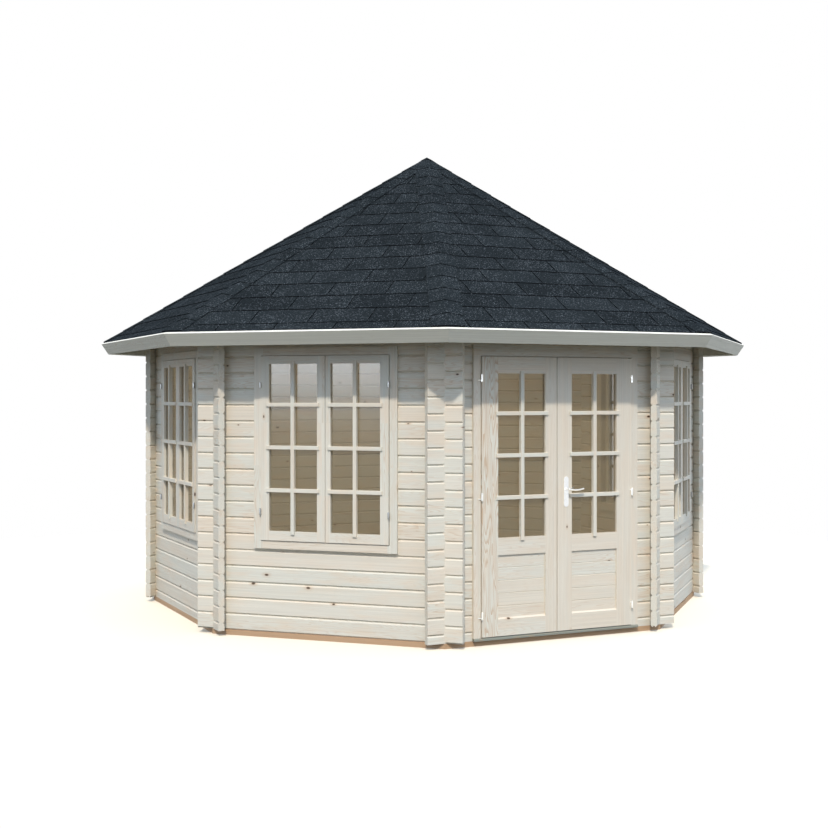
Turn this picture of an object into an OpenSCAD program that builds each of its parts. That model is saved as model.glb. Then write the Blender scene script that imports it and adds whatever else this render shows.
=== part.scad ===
/* [Plan] */
// Distance between the outer faces of two opposite walls
wall_across = 4180; // [4000:10:4500]

/* [Log walls] */
// Thickness of a wall log
log_t = 44; // [40:1:56]
// Height of one log course
log_h = 113; // [110:1:120]
// Log courses over the doorway and the windows, below the bevelled eaves log
lintel_courses = 1; // [1:1:3]
// Chamfer along each long edge of a log
log_chamfer = 10; // [3:0.5:12]
// Width of the tongue along the top of a log
tongue_w = 16; // [12:0.5:18]
// Height of the tongue
tongue_h = 8; // [5:0.5:10]
// Length that each log runs past the corner of the outer faces
log_end = 125; // [100:5:160]
// Height of the bevelled eaves log at its outer face
eaves_log_h = 148; // [135:1:180]

/* [Base] */
// Height of the bearers under the walls
bearer_h = 36; // [30:1:60]
// Width of the bearers
bearer_w = 70; // [60:1:100]
// Thickness of the floor boards
floor_t = 19; // [16:1:28]
// Width of a floor joist
joist_w = 60; // [40:1:90]
// Number of floor joists
joist_count = 7; // [5:2:9]

/* [Joinery shared by door and windows] */
// Width of the casing that shows round a door or window
casing_w = 54; // [46:1:70]
// Thickness of the casing boards on the wall faces
casing_t = 20; // [14:1:24]
// Thickness of the lining round an opening
lining_t = 34; // [24:1:42]
// Thickness of a door leaf or sash
leaf_t = 40; // [34:1:44]
// Distance that a leaf or sash stands out from the wall's outer face
leaf_proud = 28; // [24:1:32]
// Width of the stop that a leaf or sash closes against
stop_w = 15; // [10:1:20]
// Thickness of a pane of glass
glass_t = 4; // [3:0.5:6]
// Depth of the groove that holds a pane or a panel
groove_depth = 10; // [6:1:14]

/* [Door] */
// Clear width between the door jambs
door_w = 1210; // [1150:5:1240]
// Height of the door leaves
leaf_h = 1890; // [1800:5:1900]
// Running clearance round a door leaf
leaf_gap = 5; // [5:0.5:7]
// Distance from the middle of the doorway to the meeting edges, towards the left leaf
meeting_offset = 13; // [0:1:20]
// Width that the meeting edge of a leaf is eased towards the inside
meeting_ease = 3; // [2:0.5:5]
// Width of a hinge stile, jamb side
hinge_stile_w = 124; // [100:1:140]
// Distance from the middle of the doorway to the glass
meeting_stile_w = 106; // [90:1:120]
// Height of the top rail of a leaf
top_rail_h = 112; // [90:1:140]
// Height of the lock rail of a leaf
lock_rail_h = 116; // [90:1:140]
// Height of the bottom rail of a leaf
bottom_rail_h = 113; // [90:1:140]
// Height of the boarded panel that shows in a leaf
panel_h = 434; // [350:1:480]
// Thickness of the boarded panel
panel_t = 18; // [14:1:22]
// Boards in a door panel
panel_boards = 5; // [3:1:7]
// Depth of the V joint between two panel boards
panel_groove = 3; // [2:0.5:4]
// Height of the threshold
threshold_h = 19; // [16:1:28]
// Width that the threshold stands out past the casing, and of its front bevel
threshold_nose = 8; // [5:0.5:12]

/* [Hinges and handle] */
// Diameter of a hinge barrel
barrel_d = 14; // [12:0.5:16]
// Length of one hinge, both barrels
barrel_len = 56; // [48:1:70]
// Height of the domed end of a hinge barrel
barrel_dome = 4; // [2:0.5:6]
// Diameter of a hinge pin
pin_d = 8; // [6:0.5:9]
// Length of a hinge pin above the joint of its barrels
pin_up = 18; // [14:0.5:20]
// Diameter of a hinge stud
stud_d = 7; // [6:0.5:8]
// Length of a hinge stud from the pin axis
stud_len = 44; // [36:1:48]
// Distance from a leaf's end to its nearest hinge
hinge_inset = 145; // [120:1:200]
// Height of the lever's spindle above the leaf's lower edge
handle_z = 982; // [900:1:1050]
// Distance from the middle of the doorway to the handle
handle_x = 59; // [52:1:70]
// Width of a handle plate
plate_w = 36; // [30:1:44]
// Height of a handle plate
plate_h = 210; // [180:1:240]
// Thickness of a handle plate
plate_t = 4; // [3:0.5:6]
// Distance from the spindle down to the middle of a handle plate
plate_drop = 21; // [10:1:30]
// Diameter of the lever's neck
neck_d = 16; // [14:0.5:20]
// Distance from a plate to the middle of the grip
lever_reach = 40; // [36:1:50]
// Diameter of the grip
grip_d = 13; // [11:0.5:15]
// Radius of the bow in the grip
grip_bow = 220; // [180:5:300]
// Angle that the bow of the grip turns through
grip_angle = 30; // [24:1:36]

/* [Windows] */
// Clear width between the window linings
window_w = 962; // [900:2:1000]
// Clear height between the window linings
window_h = 1289; // [1200:1:1300]
// Height of the window's lower lining above the bearers
window_z = 640; // [600:1:680]
// Clearance round a sash
sash_gap = 4; // [3:0.5:6]
// Distance from the middle of a window to its meeting edges, towards the right sash
sash_meeting = 11; // [0:1:18]
// Width of an outer sash stile
sash_stile_w = 62; // [50:1:76]
// Distance from the middle of a window to the glass
sash_middle_w = 50; // [40:1:60]
// Height of the top rail of a sash
sash_top_h = 54; // [44:1:70]
// Height of the bottom rail of a sash
sash_bottom_h = 66; // [54:1:84]

/* [Roof] */
// Pitch of the roof sides
roof_pitch = 32.1; // [28:0.1:35]
// Horizontal distance from the wall's outer face to the edge of the eaves
overhang = 396; // [340:2:440]
// Thickness of the roof boards
deck_t = 18; // [16:1:22]
// Thickness of the lapped shingle covering
covering_t = 6; // [4:0.5:8]
// Height of the eaves fascia, square to the roof side
fascia_h = 100; // [85:1:120]
// Thickness of the eaves fascia
fascia_t = 20; // [16:1:24]
// Width of each wing of a hip cap, in plan
cap_wing = 112; // [80:1:130]
// Thickness of a hip cap
cap_t = 5; // [3:0.5:7]
// Thickness of a hip rafter
rafter_t = 44; // [36:1:50]
// Depth of the notch that seats a rafter on the corner logs
birdsmouth = 28; // [20:1:36]
// Height of a rafter's tail above the lower edge of the fascia
tail_lift = 15; // [5:1:30]
// Radius of the boss under the apex, to its flats
boss_r = 62; // [62:1:80]
// Height of the boss
boss_h = 260; // [220:5:300]

/* [Hidden] */
$fn = 48;

// Seating clearance between two pieces, and running clearance round a pin
fit = 0.2;
pin_fit = 0.05;
// Overshoot of a cut past the piece that it cuts
past = 1;

// The plan is a regular octagon
sides = 8;
turn = 360 / sides;
half_turn = turn / 2;
wall_a = wall_across / 2;
wall_r = wall_a / cos(half_turn);
wall_side = 2 * wall_a * tan(half_turn);
reach = 2 * wall_across;

// Door heights, from the bearers up
wall_z = bearer_h;
threshold_z = wall_z + threshold_h;
leaf_z = threshold_z + leaf_gap;
leaf_top = leaf_z + leaf_h;
door_head_z = leaf_top + leaf_gap;
door_head_top = door_head_z + lining_t;

// Window heights
window_base = wall_z + window_z;
window_head = window_base + window_h;

// Wall heights: the doorway and the windows end at or under a joint between courses
door_joint = ceil((door_head_top + fit - wall_z) / log_h - 0.5);
window_joint = ceil((window_head + casing_w - wall_z) / log_h);
courses = max(door_joint + 1, window_joint) + lintel_courses;
wall_top = wall_z + courses * log_h;
door_open_z = wall_z + (door_joint + 0.5) * log_h;
door_casing_top = max(door_open_z + casing_t, door_head_z + casing_w);
log_len = wall_side + 2 * log_end;
notch_h = log_h / 4;

// Roof planes, as heights over the distance from the axis square to a wall
rise = tan(roof_pitch);
under_apex = wall_top + eaves_log_h + wall_a * rise;
deck_dz = deck_t / cos(roof_pitch);
covering_dz = covering_t / cos(roof_pitch);
cap_dz = cap_t / cos(roof_pitch);
eave_a = wall_a + overhang;
function under_z(a) = under_apex - a * rise;
function deck_z(a) = under_z(a) + deck_dz;
function covering_z(a) = deck_z(a) + covering_dz;

// Fascia corners, each as distance from the axis and height
fascia_top = [eave_a, covering_z(eave_a)];
fascia_in = [-fascia_t * cos(roof_pitch), fascia_t * sin(roof_pitch)];
fascia_down = [-fascia_h * sin(roof_pitch), -fascia_h * cos(roof_pitch)];
fascia_back = fascia_top + fascia_in;

// Door leaves
door_half = door_w / 2;
panel_z = leaf_z + bottom_rail_h;
panel_top = panel_z + panel_h;
pane_z = panel_top + lock_rail_h;
pane_top = leaf_top - top_rail_h;
pane_in = meeting_stile_w;
pane_out = door_half - leaf_gap - hinge_stile_w;
leaf_y = -wall_a - leaf_proud;
stop_y = leaf_y + leaf_t + leaf_gap;
groove_y = leaf_y + leaf_t / 2;

// Hinge axes
hinge_x = door_half - leaf_gap / 2;
hinge_y = leaf_y - barrel_d / 2 - past;
hinge_zs = [leaf_z + hinge_inset, leaf_z + leaf_h / 2, leaf_top - hinge_inset];

// Handle
lever_z = leaf_z + handle_z;
plate_front_y = leaf_y - fit - plate_t;
plate_back_y = leaf_y + leaf_t + fit;

// Sashes
sash_z = window_base + sash_gap;
sash_top = window_head - sash_gap;
sash_half = window_w / 2 - sash_gap;
sash_pane_z = sash_z + sash_bottom_h;
sash_pane_top = sash_top - sash_top_h;
sash_pane_out = sash_half - sash_stile_w;

pine = "#dcd3c4";
bearer_brown = "#b98a66";
roof_black = "#32373c";
metal = "#c9ccce";
pane_tint = [0.62, 0.66, 0.66, 0.45];

// Shapes that repeat

// A straight bar along X with the given section in (Y, Z)
module bar(section, length) {
    rotate([90, 0, 90]) translate([0, 0, -length / 2]) linear_extrude(length) polygon(section);
}

// One eighth of the plan round the -Y direction, kept back from its two edges
module sector(back) {
    tip = back / sin(half_turn);
    translate([0, 0, -past]) linear_extrude(reach)
        polygon([[0, -tip], [-reach * tan(half_turn), -tip - reach], [reach * tan(half_turn), -tip - reach]]);
}

// Eight mitred bars; the section lists (distance from the axis, height)
module ring(section, back = fit / 2) {
    for (k = [0 : sides - 1])
        rotate([0, 0, k * turn]) intersection() {
            sector(back);
            bar([for (p = section) [-p[0], p[1]]], reach);
        }
}

// A box given by its lowest and highest corners
module block(low, high) {
    translate(low) cube(high - low);
}

// Log walls

// The band that the next wall's logs take at a corner, side -1 or 1
module crossing(side, low, high) {
    rotate([0, 0, side * turn])
        block([-reach / 2, -wall_a - fit, low], [reach / 2, -wall_a + log_t + fit, high]);
}

// Corner points of a tongue or groove on the middle of a log, from outside in where way is 1
function tongue_points(z, height, width, way) = [
    for (corner = [[-way, 0], [-way, height], [way, height], [way, 0]])
        [-wall_a + log_t / 2 + corner[0] * width / 2, z + corner[1]]
];

// One log with its tongue, groove and corner notches; a sawn half log has none on its sawn edge,
// and the top log of a wall has no tongue
module wall_log(low, high, sawn_low, sawn_high) {
    outer = -wall_a;
    inner = -wall_a + log_t;
    under = sawn_low ? 0 : log_chamfer;
    over = sawn_high ? 0 : log_chamfer;
    base = low + fit;
    crest = high - fit;
    groove = sawn_low ? [] : tongue_points(base, tongue_h + fit, tongue_w + 2 * fit, 1);
    tongue = high < wall_top - fit ? tongue_points(crest, tongue_h, tongue_w, -1) : [];
    difference() {
        bar(concat(
            [[outer, base + under], [outer + under, base]], groove, [[inner - under, base], [inner, base + under]],
            [[inner, crest - over], [inner - over, crest]], tongue, [[outer + over, crest], [outer, crest - over]]
        ), log_len);
        for (side = [-1, 1]) {
            if (!sawn_low)
                crossing(side, low - past, low + notch_h + fit);
            if (!sawn_high)
                crossing(side, high - notch_h - fit, high + tongue_h + past);
        }
    }
}

// Logs of one wall; every other wall starts and ends on a half log, so the corners interlock
module log_stack(half_start) {
    start = half_start ? 0.5 : 0;
    if (half_start)
        wall_log(wall_z, wall_z + log_h / 2, true, false);
    for (k = [0 : courses - 1 - (half_start ? 1 : 0)])
        wall_log(wall_z + (k + start) * log_h, wall_z + (k + start + 1) * log_h, false, false);
    if (half_start)
        wall_log(wall_top - log_h / 2, wall_top, false, true);
}

module plain_wall(place) {
    color(pine) rotate([0, 0, place * turn]) log_stack(place % 2 == 0);
}

module window_wall(place) {
    cut_w = window_w / 2 + lining_t + fit;
    color(pine) rotate([0, 0, place * turn]) difference() {
        log_stack(place % 2 == 0);
        block(
            [-cut_w, -wall_a - past, window_base - lining_t - fit],
            [cut_w, -wall_a + log_t + past, window_head + lining_t + fit]
        );
    }
}

module front_wall() {
    cut_w = door_half + lining_t + fit;
    color(pine) difference() {
        log_stack(true);
        block([-cut_w, -wall_a - past, wall_z - past], [cut_w, -wall_a + log_t + past, door_open_z]);
    }
}

module front_right_wall() { window_wall(1); }
module right_wall() { window_wall(2); }
module back_right_wall() { plain_wall(3); }
module back_wall() { plain_wall(4); }
module back_left_wall() { plain_wall(5); }
module left_wall() { window_wall(6); }
module front_left_wall() { window_wall(7); }

// Bevelled top logs between the rafters
module eaves_logs() {
    inner = wall_a - log_t;
    color(pine) ring([
        [wall_a, wall_top], [inner, wall_top],
        [inner, under_z(inner) - fit], [wall_a, under_z(wall_a) - fit]
    ], rafter_t / 2 + fit);
}

// Base

module foundation_bearers() {
    inner = wall_a - bearer_w;
    color(bearer_brown) ring([[wall_a, 0], [inner, 0], [inner, bearer_h], [wall_a, bearer_h]]);
}

// Joists front to back, cut to the inside of the bearers
module floor_joists() {
    inner = wall_a - bearer_w - fit;
    pitch = 2 * inner / joist_count;
    color(bearer_brown) intersection() {
        rotate([0, 0, half_turn]) cylinder(r = inner / cos(half_turn), h = bearer_h, $fn = sides);
        for (k = [0 : joist_count - 1])
            translate([(k + 0.5) * pitch - inner - joist_w / 2, -inner, 0])
                cube([joist_w, 2 * inner, bearer_h]);
    }
}

module floor_boards() {
    edge = wall_a - log_t - casing_t - 2 * fit;
    color(pine) translate([0, 0, bearer_h + fit]) rotate([0, 0, half_turn])
        cylinder(r = edge / cos(half_turn), h = floor_t, $fn = sides);
}

// Door

// Section of a jamb in plan, for the side at +X: casings, lining and stop
module jamb_section() {
    lining = door_half + lining_t;
    casing = door_half + casing_w;
    outer = -wall_a - fit;
    inner = -wall_a + log_t + fit;
    polygon([
        [door_half, outer - casing_t], [casing, outer - casing_t], [casing, outer], [lining, outer],
        [lining, inner], [casing, inner], [casing, inner + casing_t], [door_half - stop_w, inner + casing_t],
        [door_half - stop_w, stop_y], [door_half, stop_y]
    ]);
}

// Slanting holes for the hinge studs, side -1 or 1, into the frame or the leaf
module stud_holes(side, into) {
    for (z = hinge_zs)
        translate([side * hinge_x, hinge_y, z + (into == "frame" ? -1 : 1) * barrel_len / 4])
            stud(side * (into == "frame" ? 1 : -1), stud_d + 2 * pin_fit, stud_len + past);
}

// A stud from a hinge barrel, slanting into the timber towards side
module stud(side, diameter, length) {
    rotate([0, side * 90, 0]) rotate([-45, 0, 0]) cylinder(d = diameter, h = length);
}

module door_frame() {
    lining = door_half + lining_t;
    casing = door_half + casing_w;
    outer = -wall_a - fit;
    inner = -wall_a + log_t + fit;
    stop = door_half - stop_w - fit;
    color(pine) difference() {
        for (side = [0, 1])
            mirror([side, 0, 0]) translate([0, 0, threshold_z + fit])
                linear_extrude(door_head_z - threshold_z - 2 * fit) jamb_section();
        for (side = [-1, 1])
            stud_holes(side, "frame");
    }
    color(pine) {
        block([-lining, outer - casing_t, door_head_z], [lining, inner + casing_t, door_head_top]);
        block([-casing, outer - casing_t, door_head_z], [casing, outer, door_casing_top]);
        block([-casing, inner, door_head_z], [casing, inner + casing_t, door_casing_top]);
        block([-stop, stop_y, door_head_z - stop_w], [stop, inner + casing_t, door_head_top]);
    }
}

module door_threshold() {
    lining = door_half + lining_t;
    casing = door_half + casing_w;
    front = -wall_a - fit - casing_t - threshold_nose;
    color(pine) {
        block([-lining, -wall_a - past, wall_z + fit], [lining, -wall_a + log_t + casing_t, threshold_z]);
        bar([
            [-wall_a - fit, wall_z + fit], [-wall_a - fit, threshold_z],
            [front + threshold_nose, threshold_z], [front, threshold_z - threshold_nose], [front, wall_z + fit]
        ], 2 * casing);
    }
}

// Left leaf: side -1, right leaf: side 1. Pieces are placed by the middle of the doorway.
function leaf_hinge_x(side) = side * (door_half - leaf_gap);
function leaf_meet_x(side) = -meeting_offset + side * leaf_gap / 2;
function pane_low_x(side) = side < 0 ? -pane_out : pane_in;
function pane_high_x(side) = side < 0 ? -pane_in : pane_out;

// A sheet that fills an opening and the groove round it, less the given clearance
module grooved_sheet(low, high, middle_y, thickness, clear) {
    deep = groove_depth - clear;
    block(
        [low[0] - deep, middle_y - thickness / 2 + clear, low[1] - deep],
        [high[0] + deep, middle_y + thickness / 2 - clear, high[1] + deep]
    );
}

// An opening through a leaf or sash
module clear_cut(low, high) {
    block([low[0], leaf_y - past, low[1]], [high[0], leaf_y + leaf_t + past, high[1]]);
}

module door_leaf(side) {
    low_x = pane_low_x(side);
    high_x = pane_high_x(side);
    meet = leaf_meet_x(side);
    slope_y = groove_y - panel_t / 2 - fit;
    slope_h = slope_y - leaf_y;
    color(pine) difference() {
        union() {
            difference() {
                translate([0, 0, leaf_z]) linear_extrude(leaf_h) polygon([
                    [leaf_hinge_x(side), leaf_y], [meet, leaf_y],
                    [meet + side * meeting_ease, leaf_y + leaf_t], [leaf_hinge_x(side), leaf_y + leaf_t]
                ]);
                clear_cut([low_x, panel_z], [high_x, panel_top]);
                clear_cut([low_x, pane_z], [high_x, pane_top]);
                grooved_sheet([low_x, panel_z], [high_x, panel_top], groove_y, panel_t + 2 * fit, 0);
                grooved_sheet([low_x, pane_z], [high_x, pane_top], groove_y, glass_t + 2 * fit, 0);
            }
            // Weather slope at the foot of the panel
            translate([(low_x + high_x) / 2, 0, 0])
                bar([[leaf_y, panel_z - past], [slope_y, panel_z - past], [slope_y, panel_z + slope_h],
                    [leaf_y, panel_z]], high_x - low_x);
        }
        stud_holes(side, "leaf");
        if (side > 0)
            handle_bore(neck_d + 2 * past);
    }
}

module left_door_leaf() { door_leaf(-1); }
module right_door_leaf() { door_leaf(1); }

// Boarded panel with a V joint between boards on both faces
module door_panel(side) {
    low = [pane_low_x(side), panel_z];
    high = [pane_high_x(side), panel_top];
    board_h = panel_h / panel_boards;
    color(pine) difference() {
        grooved_sheet(low, high, groove_y, panel_t, fit);
        for (k = [1 : panel_boards - 1], face = [-1, 1])
            translate([(low[0] + high[0]) / 2, groove_y + face * (panel_t / 2 - fit), panel_z + k * board_h])
                bar([[-panel_groove, 0], [0, -panel_groove], [panel_groove, 0], [0, panel_groove]],
                    high[0] - low[0] + 2 * groove_depth);
    }
}

module left_door_panel() { door_panel(-1); }
module right_door_panel() { door_panel(1); }

module door_glass(side) {
    color(pane_tint)
        grooved_sheet([pane_low_x(side), pane_z], [pane_high_x(side), pane_top], groove_y, glass_t + 2 * fit, fit);
}

module left_door_glass() { door_glass(-1); }
module right_door_glass() { door_glass(1); }

// Hinges and handle

// Half of a barrel: flat at the joint, domed at its far end
module half_barrel() {
    dome_z = barrel_len / 2 - barrel_dome;
    rotate_extrude() intersection() {
        union() {
            translate([0, fit]) square([barrel_d / 2, dome_z - fit]);
            translate([0, dome_z]) scale([1, 2 * barrel_dome / barrel_d]) circle(d = barrel_d);
        }
        translate([0, fit]) square([barrel_d, barrel_len]);
    }
}

// Lower barrels with their pins and studs, on the frame
module frame_hinges(side) {
    color(metal) for (z = hinge_zs)
        translate([side * hinge_x, hinge_y, z]) {
            mirror([0, 0, 1]) half_barrel();
            translate([0, 0, -barrel_len / 4]) cylinder(d = pin_d, h = barrel_len / 4 + pin_up);
            translate([0, 0, -barrel_len / 4]) stud(side, stud_d, stud_len);
        }
}

// Upper barrels bored for the pins, with their studs, on a leaf
module leaf_hinges(side) {
    color(metal) for (z = hinge_zs)
        translate([side * hinge_x, hinge_y, z]) difference() {
            union() {
                half_barrel();
                translate([0, 0, barrel_len / 4]) stud(-side, stud_d, stud_len);
            }
            translate([0, 0, -past]) cylinder(d = pin_d + 2 * pin_fit, h = pin_up + 2 * past);
        }
}

module left_frame_hinges() { frame_hinges(-1); }
module right_frame_hinges() { frame_hinges(1); }
module left_leaf_hinges() { leaf_hinges(-1); }
module right_leaf_hinges() { leaf_hinges(1); }

// A hole along the lever's axis, through the leaf and both plates
module handle_bore(diameter) {
    translate([handle_x, leaf_y - plate_t - past, lever_z]) rotate([-90, 0, 0])
        cylinder(d = diameter, h = leaf_t + 2 * plate_t + 2 * past);
}

// A tall plate with round ends, its back at the given depth
module handle_plate(front_y) {
    straight = plate_h - plate_w;
    difference() {
        translate([handle_x, front_y, lever_z - plate_drop]) rotate([-90, 0, 0]) {
            translate([-plate_w / 2, -straight / 2, 0]) cube([plate_w, straight, plate_t]);
            for (end = [-1, 1])
                translate([0, end * straight / 2, 0]) cylinder(d = plate_w, h = plate_t);
        }
        handle_bore(neck_d + 2 * pin_fit);
    }
}

module handle_plates() {
    color(metal) {
        handle_plate(plate_front_y);
        handle_plate(plate_back_y);
    }
}

// One bowed grip, from the neck towards the hinge side
module grip(y) {
    start = 270 - grip_angle / 2;
    translate([handle_x - grip_bow * cos(start), y, lever_z - grip_bow * sin(start)]) rotate([90, 0, 0]) {
        rotate([0, 0, start]) rotate_extrude(angle = grip_angle) translate([grip_bow, 0]) circle(d = grip_d);
        rotate([0, 0, start + grip_angle]) translate([grip_bow, 0, 0]) sphere(d = grip_d);
    }
    translate([handle_x, y, lever_z]) sphere(d = neck_d);
}

module door_handle() {
    front = plate_front_y - lever_reach;
    back = plate_back_y + plate_t + lever_reach;
    color(metal) {
        translate([handle_x, front, lever_z]) rotate([-90, 0, 0]) cylinder(d = neck_d, h = back - front);
        grip(front);
        grip(back);
    }
}

// Windows

module window_frame(place) {
    half = window_w / 2;
    outer = -wall_a - fit;
    inner = -wall_a + log_t + fit;
    stop = leaf_y + leaf_t + fit;
    color(pine) rotate([0, 0, place * turn]) difference() {
        union() {
            block([-half - lining_t, outer - casing_t, window_base - lining_t],
                [half + lining_t, inner + casing_t, window_head + lining_t]);
            for (face = [outer - casing_t, inner])
                block([-half - casing_w, face, window_base - casing_w],
                    [half + casing_w, face + casing_t, window_head + casing_w]);
        }
        block([-half, outer - casing_t - past, window_base], [half, stop, window_head]);
        block([-half + stop_w, stop - past, window_base + stop_w],
            [half - stop_w, inner + casing_t + past, window_head - stop_w]);
        // Butt joints between the upright pieces and the head and sill pieces
        for (joint = [-half + stop_w, half - stop_w - fit])
            block([joint, outer - casing_t - past, window_base - casing_w - past],
                [joint + fit, inner + casing_t + past, window_head + casing_w + past]);
    }
}

// Left sash: side -1, right sash: side 1
function sash_low(side) = [side < 0 ? -sash_half : sash_meeting + sash_gap / 2, sash_z];
function sash_high(side) = [side < 0 ? sash_meeting - sash_gap / 2 : sash_half, sash_top];
function sash_pane_low(side) = [side < 0 ? -sash_pane_out : sash_middle_w, sash_pane_z];
function sash_pane_high(side) = [side < 0 ? -sash_middle_w : sash_pane_out, sash_pane_top];

module window_sashes(place) {
    color(pine) rotate([0, 0, place * turn]) for (side = [-1, 1]) {
        low = sash_low(side);
        high = sash_high(side);
        difference() {
            block([low[0], leaf_y, low[1]], [high[0], leaf_y + leaf_t, high[1]]);
            clear_cut(sash_pane_low(side), sash_pane_high(side));
            grooved_sheet(sash_pane_low(side), sash_pane_high(side), groove_y, glass_t + 2 * fit, 0);
        }
    }
}

module window_glass(place) {
    color(pane_tint) rotate([0, 0, place * turn]) for (side = [-1, 1])
        grooved_sheet(sash_pane_low(side), sash_pane_high(side), groove_y, glass_t + 2 * fit, fit);
}

module front_left_window_frame() { window_frame(7); }
module front_left_window_sashes() { window_sashes(7); }
module front_left_window_glass() { window_glass(7); }
module left_window_frame() { window_frame(6); }
module left_window_sashes() { window_sashes(6); }
module left_window_glass() { window_glass(6); }
module right_window_frame() { window_frame(2); }
module right_window_sashes() { window_sashes(2); }
module right_window_glass() { window_glass(2); }
module front_right_window_frame() { window_frame(1); }
module front_right_window_sashes() { window_sashes(1); }
module front_right_window_glass() { window_glass(1); }

// Roof

// A point on the back of the fascia, the given depth under the top of the covering
function eave_point(depth) = fascia_back
    + fit * [-cos(roof_pitch), sin(roof_pitch)]
    - depth * [sin(roof_pitch), cos(roof_pitch)];

// Tapered hip rafters, notched over the corner logs and butted to the boss
module hip_rafters() {
    hip_rise = rise * cos(half_turn);
    drop = rafter_t / 2 * sin(half_turn) * rise + fit;
    depth = eaves_log_h - drop + birdsmouth;
    head_r = boss_r + fit;
    head_z = under_apex - head_r * hip_rise - drop;
    seat_r = wall_r - birdsmouth / hip_rise;
    heel_r = wall_r + rafter_t / 2 * tan(half_turn) + fit;
    heel_z = under_apex - heel_r * hip_rise - drop - depth;
    foot_a = fascia_back[0] + fascia_down[0] - fit;
    tail_r = (foot_a - rafter_t / 2 * sin(half_turn)) / cos(half_turn);
    tail_z = under_apex - tail_r * hip_rise - drop;
    color(pine) for (k = [0 : sides - 1])
        rotate([0, 0, half_turn + k * turn]) bar([
            [-head_r, head_z], [-tail_r, tail_z],
            [-tail_r, fascia_top[1] + fascia_down[1] + tail_lift], [-heel_r, heel_z],
            [-heel_r, wall_top], [-seat_r, wall_top], [-head_r, head_z - depth]
        ], rafter_t);
}

// Eight-sided boss that the rafters butt against
module roof_boss() {
    corner_r = boss_r / cos(half_turn);
    color(pine) translate([0, 0, under_z(corner_r) - fit - boss_h])
        cylinder(r = corner_r, h = boss_h, $fn = sides);
}

module roof_boards() {
    color(pine) ring([
        eave_point(covering_t), eave_point(covering_t + deck_t), [-past, under_z(-past)], [-past, deck_z(-past)]
    ]);
}

module roof_shingles() {
    lift = fit / cos(roof_pitch);
    color(roof_black) ring([
        eave_point(0), eave_point(covering_t - fit), [-past, deck_z(-past) + lift], [-past, covering_z(-past)]
    ]);
}

// Folded caps over the hips, meeting at the apex
module hip_caps() {
    lift = fit / cos(roof_pitch);
    layer = [
        eave_point(-fit), eave_point(-cap_t),
        [-past, covering_z(-past) + cap_dz], [-past, covering_z(-past) + lift]
    ];
    color(roof_black) for (k = [0 : sides - 1])
        rotate([0, 0, half_turn + k * turn]) for (side = [-1, 1])
            intersection() {
                sector(fit / 2);
                block([side < 0 ? -cap_wing : 0, -reach, -past], [side < 0 ? 0 : cap_wing, past, reach]);
                rotate([0, 0, side * half_turn]) bar([for (p = layer) [-p[0], p[1]]], reach);
            }
}

module eaves_fascia() {
    color(pine) ring([fascia_top, fascia_top + fascia_down, fascia_back + fascia_down, fascia_back]);
}

foundation_bearers();
floor_joists();
floor_boards();
front_wall();
front_right_wall();
right_wall();
back_right_wall();
back_wall();
back_left_wall();
left_wall();
front_left_wall();
eaves_logs();
door_frame();
door_threshold();
left_door_leaf();
left_door_panel();
left_door_glass();
right_door_leaf();
right_door_panel();
right_door_glass();
left_frame_hinges();
left_leaf_hinges();
right_frame_hinges();
right_leaf_hinges();
handle_plates();
door_handle();
front_left_window_frame();
front_left_window_sashes();
front_left_window_glass();
left_window_frame();
left_window_sashes();
left_window_glass();
right_window_frame();
right_window_sashes();
right_window_glass();
front_right_window_frame();
front_right_window_sashes();
front_right_window_glass();
hip_rafters();
roof_boss();
roof_boards();
roof_shingles();
hip_caps();
eaves_fascia();
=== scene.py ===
"""Looks of an eight-sided log garden gazebo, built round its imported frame."""

import math
import random

import bmesh
import bpy
from mathutils import Matrix, Vector


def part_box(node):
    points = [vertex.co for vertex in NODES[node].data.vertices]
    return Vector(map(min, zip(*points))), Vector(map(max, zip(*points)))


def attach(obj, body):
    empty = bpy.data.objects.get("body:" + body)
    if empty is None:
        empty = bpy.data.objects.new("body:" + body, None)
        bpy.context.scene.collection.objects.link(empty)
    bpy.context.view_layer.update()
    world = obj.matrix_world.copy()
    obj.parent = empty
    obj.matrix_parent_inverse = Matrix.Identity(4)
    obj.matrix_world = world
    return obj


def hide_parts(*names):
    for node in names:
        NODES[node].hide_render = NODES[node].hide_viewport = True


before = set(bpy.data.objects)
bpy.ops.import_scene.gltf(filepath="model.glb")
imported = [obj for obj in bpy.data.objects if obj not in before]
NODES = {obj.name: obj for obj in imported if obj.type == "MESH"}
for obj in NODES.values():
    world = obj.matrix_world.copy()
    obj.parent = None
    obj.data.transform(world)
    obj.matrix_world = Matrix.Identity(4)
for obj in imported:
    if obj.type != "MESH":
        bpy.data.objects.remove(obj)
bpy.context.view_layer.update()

bl_info = {
    "name": "Log gazebo finish",
    "version": (1, 0, 0),
    "blender": (4, 5, 0),
    "location": "3D View > Sidebar > Gazebo",
    "description": "Lays the roof, floor, glazing bars and finishes of a log gazebo",
    "category": "Object",
}

# Places taken from the frame, in metres

SIDES = 8
TURN = math.tau / SIDES
PLACES = {
    "front": 0, "front_right": 1, "right": 2, "back_right": 3,
    "back": 4, "back_left": 5, "left": 6, "front_left": 7,
}
WINDOWS = ("front_right", "right", "left", "front_left")
COURSES = 19
WALL_LOW, WALL_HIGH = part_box("back_right_wall")
LOG_H = (WALL_HIGH.z - WALL_LOW.z) / COURSES
WALL_A = -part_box("front_wall")[0].y
LEAF_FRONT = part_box("left_door_leaf")[0].y
# Depth of glass hidden in the groove of a leaf or sash
GROOVE = 0.0098


def roof_plane():
    """Height of the apex, pitch, and eaves distance of the covering's upper face."""
    points = [vertex.co for vertex in NODES["roof_shingles"].data.vertices]
    apex = max(points, key=lambda point: point.z)
    eave = min(points, key=lambda point: point.y)
    return apex.z, math.atan2(apex.z - eave.z, -eave.y), -eave.y


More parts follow.
